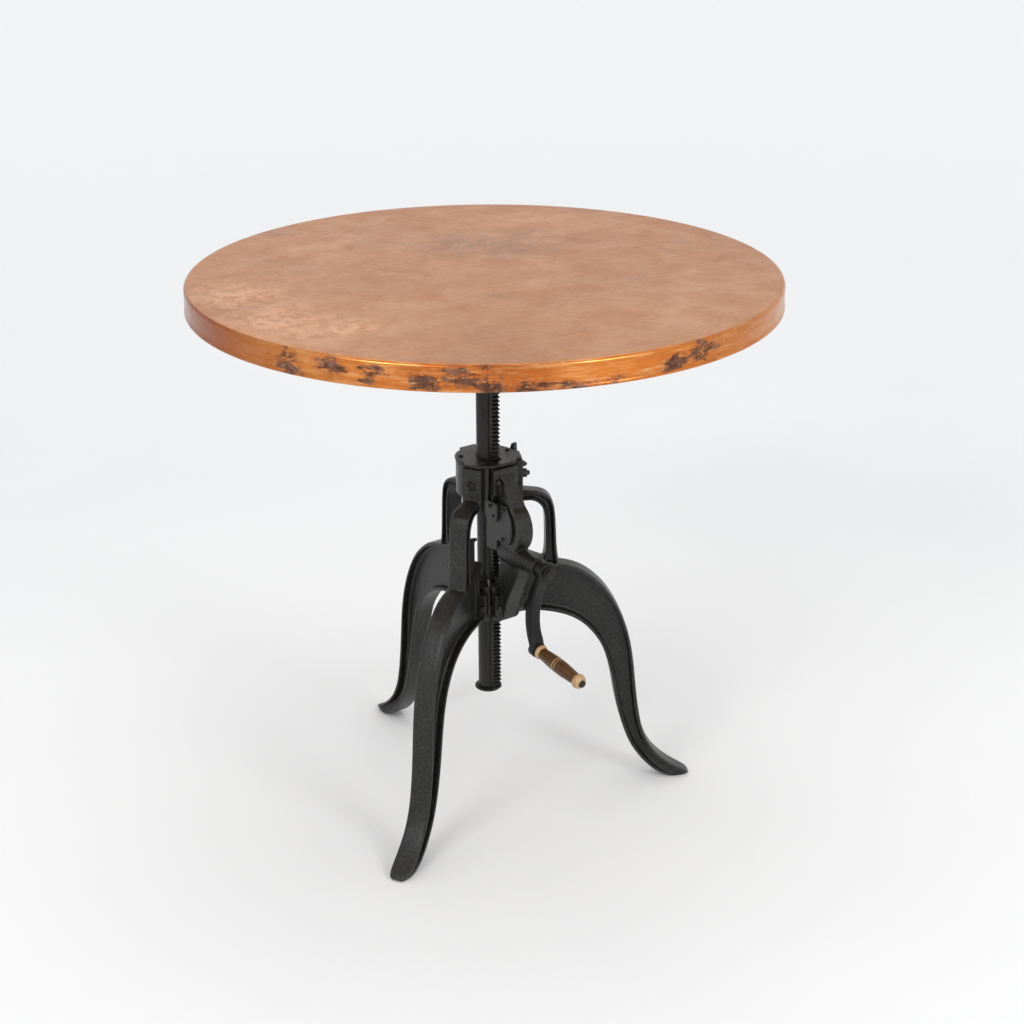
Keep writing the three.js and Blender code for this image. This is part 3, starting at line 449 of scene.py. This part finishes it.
def loft(rings):
    verts, faces = [], []
    n = len(rings[0])
    for ring in rings:
        verts += ring
    for i in range(len(rings) - 1):
        for j in range(n):
            k = (j + 1) % n
            faces.append((i * n + j, i * n + k, (i + 1) * n + k, (i + 1) * n + j))
    faces.append(tuple(range(n)))
    faces.append(tuple((len(rings) - 1) * n + j for j in reversed(range(n))))
    return verts, faces


def rounded_block(s0, s1, z0, z1, r0, r1, rad_b, rad_t, e):
    """Pad with rounded corners in (s, z) and a broken outer edge, between radii r0 and r1."""
    def outline(inset):
        pts = []
        for cx, cz, rr, a0 in ((s1 - rad_b, z0 + rad_b, rad_b, -90), (s1 - rad_t, z1 - rad_t, rad_t, 0), (s0 + rad_t, z1 - rad_t, rad_t, 90), (s0 + rad_b, z0 + rad_b, rad_b, 180)):
            for k in range(7):
                a = math.radians(a0 + 15 * k)
                q = max(rr - inset, 0.1)
                pts.append((cx + q * math.cos(a), cz + q * math.sin(a)))
        return pts
    rings = []
    for r, inset in ((r0, 0), (r1 - e, 0), (r1 - e * 0.3, e * 0.3), (r1, e)):
        rings.append([(r, s, z) for s, z in outline(inset)])
    return loft(rings)


# ----------------------------------------------------------------------- legs
LEG_OUTER = [[50.5, 430], [70, 421], [92, 412], [113, 405], [135, 400], [155, 391.5], [174, 377.5], [191, 360], [206, 338], [219, 312], [229, 285], [236, 257], [241, 227], [244.5, 195], [248, 162], [252.5, 129], [258.5, 99], [266.5, 76], [277, 57], [291, 40.5], [306, 27.5], [320, 18], [331, 11.5], [338.5, 6.6], [342, 3.2]]
LEG_INNER = [[50.5, 322], [66, 324], [86, 323], [105, 320], [124, 315], [140, 308], [153.5, 299], [166, 287], [177, 273], [186.5, 257], [194, 238], [200, 217], [205, 195], [209, 172], [213.5, 148], [219.5, 122], [227, 97], [236, 74], [247, 54], [260.5, 36], [276, 20], [293, 8], [309, 1.6], [325, 0], [337, 0]]
LEG_HALF = [15.5, 16, 16.5, 17, 17.5] + [18] * 16 + [17.5, 16.5, 14, 9.5]
ARM_OUTER = [[49, 536], [60, 534.5], [72, 532.5], [84, 530.5], [94, 526.5], [102, 519], [107, 507], [109.5, 490], [110.8, 466], [112, 440], [114, 418], [117, 402]]
ARM_INNER = [[49, 514], [60, 516], [71, 516.5], [79.5, 513.5], [86, 507.5], [90, 500], [92, 490], [93, 478], [93.5, 458], [93.5, 436], [92, 418], [88, 400]]
ARM_HALF = [13, 13.5, 14.5, 15] + [15.5] * 8


def section(half, depth, tf, ti, web):
    """I-section as (s, depth from the outer face): crowned outer flange, grooves with fillets, inner flange."""
    tf, ti = min(tf, depth * 0.3), min(ti, depth * 0.28)
    right = []
    for k in range(6):            # crowned outer face rolling over to the rim
        a = math.radians(90 * k / 5)
        right.append((half * (0.42 + 0.58 * math.sin(a)), min(3.4, depth / 6) * (1 - math.cos(a)) ** 1.3))
    right.append((half, tf - 0.8))
    right.append((half - 0.8, tf))
    room = max(depth - tf - ti, 0.4)
    f = min(4.0, room * 0.35, max(half - web, 0.1) * 0.6)
    for k in range(5):
        a = math.radians(90 * k / 4)
        right.append((web + f * (1 - math.sin(a)), tf + f * (1 - math.cos(a))))
    for k in range(5):
        a = math.radians(90 * k / 4)
        right.append((web + f * (1 - math.cos(a)), depth - ti - f * (1 - math.sin(a))))
    right += [(half - 0.8, depth - ti), (half, depth - ti + 0.8), (half, depth - 1.2), (half - 1.3, depth)]
    return right + [(-s, u) for s, u in reversed(right)]


def bar(outer, inner, halves, n, tf, ti, web):
    O, I, H = spline(outer, n), spline(inner, n), values(halves, n)
    rings = []
    for i in range(n):
        d = I[i] - O[i]
        L = d.length
        d /= L
        k = i / (n - 1)
        rings.append([(O[i].x + d.x * u, s, O[i].y + d.y * u) for s, u in section(H[i], L, tf, ti, web(k, H[i]))])
    return loft(rings)


def leg_web(k, h):
    return 4.5 if k < 0.78 else min(h - 0.6, 4.5 + (h - 5.1) * (k - 0.78) / 0.14)


parts = [
    bar(LEG_OUTER, LEG_INNER, LEG_HALF, 150, 7, 6, leg_web),
    bar(ARM_OUTER, ARM_INNER, ARM_HALF, 90, 5.5, 4.5, lambda k, h: 8 - 1.5 * min(1, k / 0.1)),
    rounded_block(-16.5, 16.5, 517, 587.2, 45.3, 57, 3, 3, 1.2),
    rounded_block(-24, 24, 327, 374, 46.3, 57.5, 9, 4, 1.2),
    rounded_block(-11, 11, 326, 428, 51, 57, 2, 2, 1.0),
    rounded_block(-8.6, 8.6, 551.4, 568.6, 56, 57.9, 8.6, 8.6, 0.8),
]
VERTS, FACES = [], []
for v, f in parts:
    base = len(VERTS)
    VERTS += [tuple(c * MM for c in p) for p in v]
    FACES += [tuple(base + i for i in q) for q in f]
for name, az in LEG_AZ.items():
    o = mesh_object(name + "_cast", VERTS, FACES, M["black_cast_iron"])
    m = o.modifiers.new("remesh", "REMESH")
    m.mode = "VOXEL"
    m.voxel_size = 1.15 * MM
    s = o.modifiers.new("smooth", "SMOOTH")
    s.factor, s.iterations = 0.5, 4
    bake_modifiers(o)
    for v in o.data.vertices:         # seats and sole stay flat
        if v.co.z < 0.35 * MM:
            v.co.z = 0.0
        if v.co.z > 500 * MM:
            v.co.x = max(v.co.x, 45.3 * MM)
        elif v.co.z > 310 * MM:
            v.co.x = max(v.co.x, 46.3 * MM)
    for p in o.data.polygons:
        p.use_smooth = True
    o.data.transform(Matrix.Rotation(math.radians(az), 4, "Z"))
    stand_in(o, name)

# ------------------------------------------------------------------------ top
REST_H, TOP_Z0, TOP_R = 890.0, 852.0, 457.2
prof = []
for k in range(0, 46):
    prof.append((450.5 * k / 45, REST_H))
for k in range(1, 9):                       # rounded shoulder
    a = math.radians(90 * k / 8)
    prof.append((450.5 + 6.7 * math.sin(a), REST_H - 5.6 * (1 - math.cos(a))))
for z in (877, 870, 862, TOP_Z0 + 4.0):
    prof.append((TOP_R, z))
prof += [(457.7, TOP_Z0 + 2.6), (458.0, TOP_Z0 + 1.2), (457.9, TOP_Z0 - 0.4), (457.2, TOP_Z0 - 1.2), (456.2, TOP_Z0 - 1.4), (432.6, TOP_Z0 - 1.4), (432.0, TOP_Z0 - 0.8), (432.0, TOP_Z0 - 0.2), (455.6, TOP_Z0 - 0.2), (455.6, REST_H - 5.0), (451.6, REST_H - 1.3), (0, REST_H - 1.3)]
top = lathe("copper_top_sheet", prof, M["copper_sheet"], 288, closed=False)
top.data.materials.append(M["copper_band"])
for v in top.data.vertices:                 # slight waves left by the planishing hammer
    r = math.hypot(v.co.x, v.co.y)
    if v.co.z > (REST_H - 0.01) * MM and r < 449 * MM:
        v.co.z -= 0.22 * MM * (0.5 + 0.5 * noise.noise(v.co * 38)) * min(1, (449 * MM - r) / (12 * MM))
    elif r > 457 * MM and 856 * MM < v.co.z < 882 * MM:
        w = 1 - 0.35 * MM * (0.5 + 0.5 * noise.noise(v.co * 30)) / r
        v.co.x *= w
        v.co.y *= w
for p in top.data.polygons:
    c = p.center
    if math.hypot(c.x, c.y) > 453.6 * MM and p.normal.z < 0.90:
        p.material_index = 1
stand_in(top, "copper_top")
core = lathe("wood_core_disc", [(0, 852.1), (454.6, 852.1), (455.2, 852.8), (455.2, 884.4), (450.8, 888.3), (0, 888.3)], M["core_wood"], 192, closed=False)
stand_in(core, "wood_core")

# --------------------------------------------------------------------- column
tube = lathe("column_tube_turned", [(12.5, 186.4), (15.5, 186.4), (16, 187), (16, 847.4), (15.6, 848), (12.5, 848)], M["black_steel"], 96)
stand_in(tube, "column_tube")
machined("column_rack", 0.28, 2, 25)
machined("column_end_disc", 0.5, 3)
machined("lift_wheel", 0.25, 2)
machined("crankshaft", 0.2, 2, 32)

# ------------------------------------------------------------------- castings
cast("upper_collar", 0.9, 3, rings=((49, 533, 587), (19.1, 533, 587)))
cast("lower_collar", 0.9, 3, rings=((49, 323, 383), (19.1, 323, 383)))
cast("collar_lid", 0.7, 2, rings=((50.5, 588, 593),))
cast("gear_housing", 0.9, 4)
cast("housing_cover", 0.7, 3)
cast("guide_bracket", 0.7, 3)
cast("top_flange", 1.2, 3)
cast("lock_screw", 0.5, 2)

# ------------------------------------------------------------ crank and handle
C = [[153, 448], [149.5, 431], [141, 414], [132.5, 395], [126.5, 373], [125, 350], [128, 331], [134, 316], [137, 305]]
T = [11, 12.5, 14, 15, 15.5, 15, 13, 11.5, 11]
W = [26, 24.5, 23, 22, 22, 22, 23, 24.5, 25]
n = 70
P, TT, WW = spline(C, n), values(T, n), values(W, n)
rings = []
for i in range(n):
    d = P[min(i + 1, n - 1)] - P[max(i - 1, 0)]
    d.normalize()
    nrm = Vector((-d.y, d.x))
    ring = []
    for k in range(28):
        a = 2 * math.pi * k / 28
        ca, sa = math.cos(a), math.sin(a)
        u = math.copysign(abs(ca) ** 0.42, ca) * TT[i] / 2
        s = math.copysign(abs(sa) ** 0.42, sa) * WW[i] / 2
        ring.append((P[i].x + nrm.x * u, s, P[i].y + nrm.y * u))
    rings.append(ring)


def disc_parts(profile, segs, place):
    verts, faces = [], []
    rows = []
    for r, h in profile:
        rows.append(len(verts))
        for k in range(segs):
            a = 2 * math.pi * k / segs
            verts.append(tuple(place @ Vector((h, r * math.cos(a), r * math.sin(a)))))
    for a, b in zip(rows, rows[1:]):
        for k in range(segs):
            k2 = (k + 1) % segs
            faces.append((a + k, a + k2, b + k2, b + k))
    faces.append(tuple(range(segs)))
    faces.append(tuple(rows[-1] + k for k in reversed(range(segs))))
    return verts, faces


EYE = Matrix.Translation((136.5, 0, 304)) @ Matrix.Rotation(TILT, 4, "Y")
chunks = [
    loft(rings),
    disc_parts([(12.6, 144.4), (13.2, 145), (13.2, 155.5), (16, 157), (16, 164.0), (15, 165.2)], 64, Matrix.Translation((0, 0, 446))),
    disc_parts([(13, -6.5), (13, 5.5), (12, 6.5)], 64, EYE),
]
av, af = [], []
for v, f in chunks:
    base = len(av)
    av += [tuple(c * MM for c in p) for p in v]
    af += [tuple(base + i for i in q) for q in f]
# the crank arm takes the darker copy of the cast iron: painted shade
arm = mesh_object("crank_arm_cast", av, af, M["smooth_shaded_cast_iron"])
m = arm.modifiers.new("remesh", "REMESH")
m.mode, m.voxel_size = "VOXEL", 0.75 * MM
s = arm.modifiers.new("smooth", "SMOOTH")
s.factor, s.iterations = 0.5, 4
bake_modifiers(arm)
for p in arm.data.polygons:
    p.use_smooth = True
arm.data.transform(Matrix.Rotation(math.radians(CRANK_AZ), 4, "Z"))
stand_in(arm, "crank_arm")

HANDLE = Matrix.Rotation(math.radians(CRANK_AZ), 4, "Z") @ Matrix.Translation((136.5 * MM, 0, 304 * MM)) @ Matrix.Rotation(TILT, 4, "Y") @ Matrix.Rotation(math.radians(90), 4, "Y")


def turned_handle(name, profile, node, mat=None):
    o = lathe(name, profile, mat or M[SLOT_OF[node]], 72, HANDLE)
    return stand_in(o, node)


grip = [(4.35, 16.3), (9.0, 16.3), (9.5, 16.9)]
for k in range(0, 31):
    h = 17.5 + 85.5 * k / 30
    r = 9.45 + 2.45 * math.sin(math.pi * min(1, max(0, (h - 17.5) / 85.5)) ** 0.95) ** 1.15
    for c in (54.0, 59.5):                  # two shallow cut lines round the middle
        r -= 0.5 * math.exp(-((h - c) / 0.8) ** 2)
    grip.append((min(r, 11.9), h))
grip += [(9.2, 103.6), (8.8, 104.0), (4.35, 104.0)]
fine = []
for (r0, h0), (r1, h1) in zip(grip, grip[1:]):
    fine.append((r0, h0))
    if 50 < h0 < 64 or 50 < h1 < 64:
        for q in (0.25, 0.5, 0.75):
            h = h0 + (h1 - h0) * q
            r = 9.45 + 2.45 * math.sin(math.pi * ((h - 17.5) / 85.5) ** 0.95) ** 1.15
            for c in (54.0, 59.5):
                r -= 0.5 * math.exp(-((h - c) / 0.8) ** 2)
            fine.append((min(r, 11.9), h))
fine.append(grip[-1])
g = turned_handle("handle_grip_turned", fine, "handle_grip")
g.data.materials.append(M["pale_wood"])
inv = HANDLE.inverted()
for p in g.data.polygons:                   # the stain is cut through in the two lines
    h = (inv @ p.center).z / MM
    if (abs(h - 54.0) < 0.95 or abs(h - 59.5) < 0.95) and (inv @ p.center).xy.length > 8 * MM:
        p.material_index = 1
turned_handle("handle_inner_ferrule_turned", [(4.35, 7.2), (8.6, 7.2), (9.6, 7.6), (11.3, 8.9), (12.0, 10.6), (12.0, 12.2), (11.4, 13.6), (10.2, 14.6), (9.9, 15.4), (9.4, 16.0), (4.35, 16.0)], "handle_inner_ferrule")
turned_handle("handle_outer_ferrule_turned", [(4.35, 104.3), (9.2, 104.3), (9.7, 104.9), (10.2, 105.6), (11.5, 106.8), (12.0, 108.6), (12.0, 111.2), (11.4, 113.4), (10.2, 115.4), (9.0, 117.0), (7.6, 118.0), (6.0, 118.3), (4.35, 118.3)], "handle_outer_ferrule")

for node in NODES:
    if SLOT_OF[node] == "black_fasteners":
        machined(node, 0.3, 2, 30)

# ---------------------------------------------------------------------- stage
t = Tree("studio_floor")
soft = t.noise(1.3, 3, 0.5)
dist = t.add("ShaderNodeVectorMath", operation="LENGTH")
t.link(t.co, dist.inputs[0])
paper = t.ramp(soft, [(0.3, (0.80, 0.80, 0.805)), (0.7, (0.825, 0.825, 0.825))])
t.out(t.mix(t.span(dist.outputs["Value"], 1.6, 5.0, 0, 1), paper, (0.94, 0.94, 0.94)), t.span(soft, 0.3, 0.7, 0.75, 0.85), None)
prof = [(0, 0.0), (5.0, 0.0)] + [(5.0 + 2.0 * math.sin(math.radians(a)), 2.0 * (1 - math.cos(math.radians(a)))) for a in range(6, 91, 6)] + [(7.0, 4.5)]
verts, faces, seg = [(0, 0, 0)], [], 96
for d, z in prof[1:]:
    for k in range(seg):
        a = 2 * math.pi * k / seg
        verts.append((d * math.cos(a), d * math.sin(a), z))
for k in range(seg):
    k2 = (k + 1) % seg
    faces.append((0, 1 + k, 1 + k2))
    for i in range(len(prof) - 2):
        faces.append((1 + i * seg + k, 1 + (i + 1) * seg + k, 1 + (i + 1) * seg + k2, 1 + i * seg + k2))
floor = mesh_object("floor_sweep", verts, faces, t.m)

scene = bpy.context.scene
world = bpy.data.worlds.new("studio")
scene.world = world
world.use_nodes = True
world.node_tree.nodes["Background"].inputs["Color"].default_value = (0.98, 0.99, 1.0, 1)
world.node_tree.nodes["Background"].inputs["Strength"].default_value = 0.94


def area(name, pos, target, size, power, size_y=None):
    d = bpy.data.lights.new(name, "AREA")
    d.shape = "RECTANGLE"
    d.size, d.size_y = size, size_y or size
    d.energy = power
    o = bpy.data.objects.new(name, d)
    scene.collection.objects.link(o)
    o.location = pos
    o.rotation_euler = (Vector(target) - Vector(pos)).to_track_quat("-Z", "Y").to_euler()
    return o


area("key_softbox", (-3.2, -1.2, 2.9), (0, 0, 0.5), 1.4, 42)
area("front_softbox", (0.4, -3.4, 2.2), (0, 0, 0.5), 1.1, 30)
area("top_softbox", (0.6, 0.8, 3.6), (0, 0, 0.6), 2.4, 14)

# --------------------------------------------------------------------- camera
cam = bpy.data.cameras.new("camera")
cam.lens = 1971.09 / 1024 * 36
cam.sensor_width = 36
cam.clip_end = 60
co = bpy.data.objects.new("camera", cam)
scene.collection.objects.link(co)
fwd = Vector((0.538, 0.754, -0.377)).normalized()
right = fwd.cross(Vector((0, 0, 1))).normalized()
up = right.cross(fwd)
roll = math.radians(-0.199)
rt = math.cos(roll) * right + math.sin(roll) * up
ut = -math.sin(roll) * right + math.cos(roll) * up
mat = Matrix((rt, ut, -fwd)).transposed().to_4x4()
mat.translation = Vector((-1.6720, -2.4128, 1.6890))
co.matrix_world = mat
scene.camera = co
scene.view_settings.view_transform = "Standard"
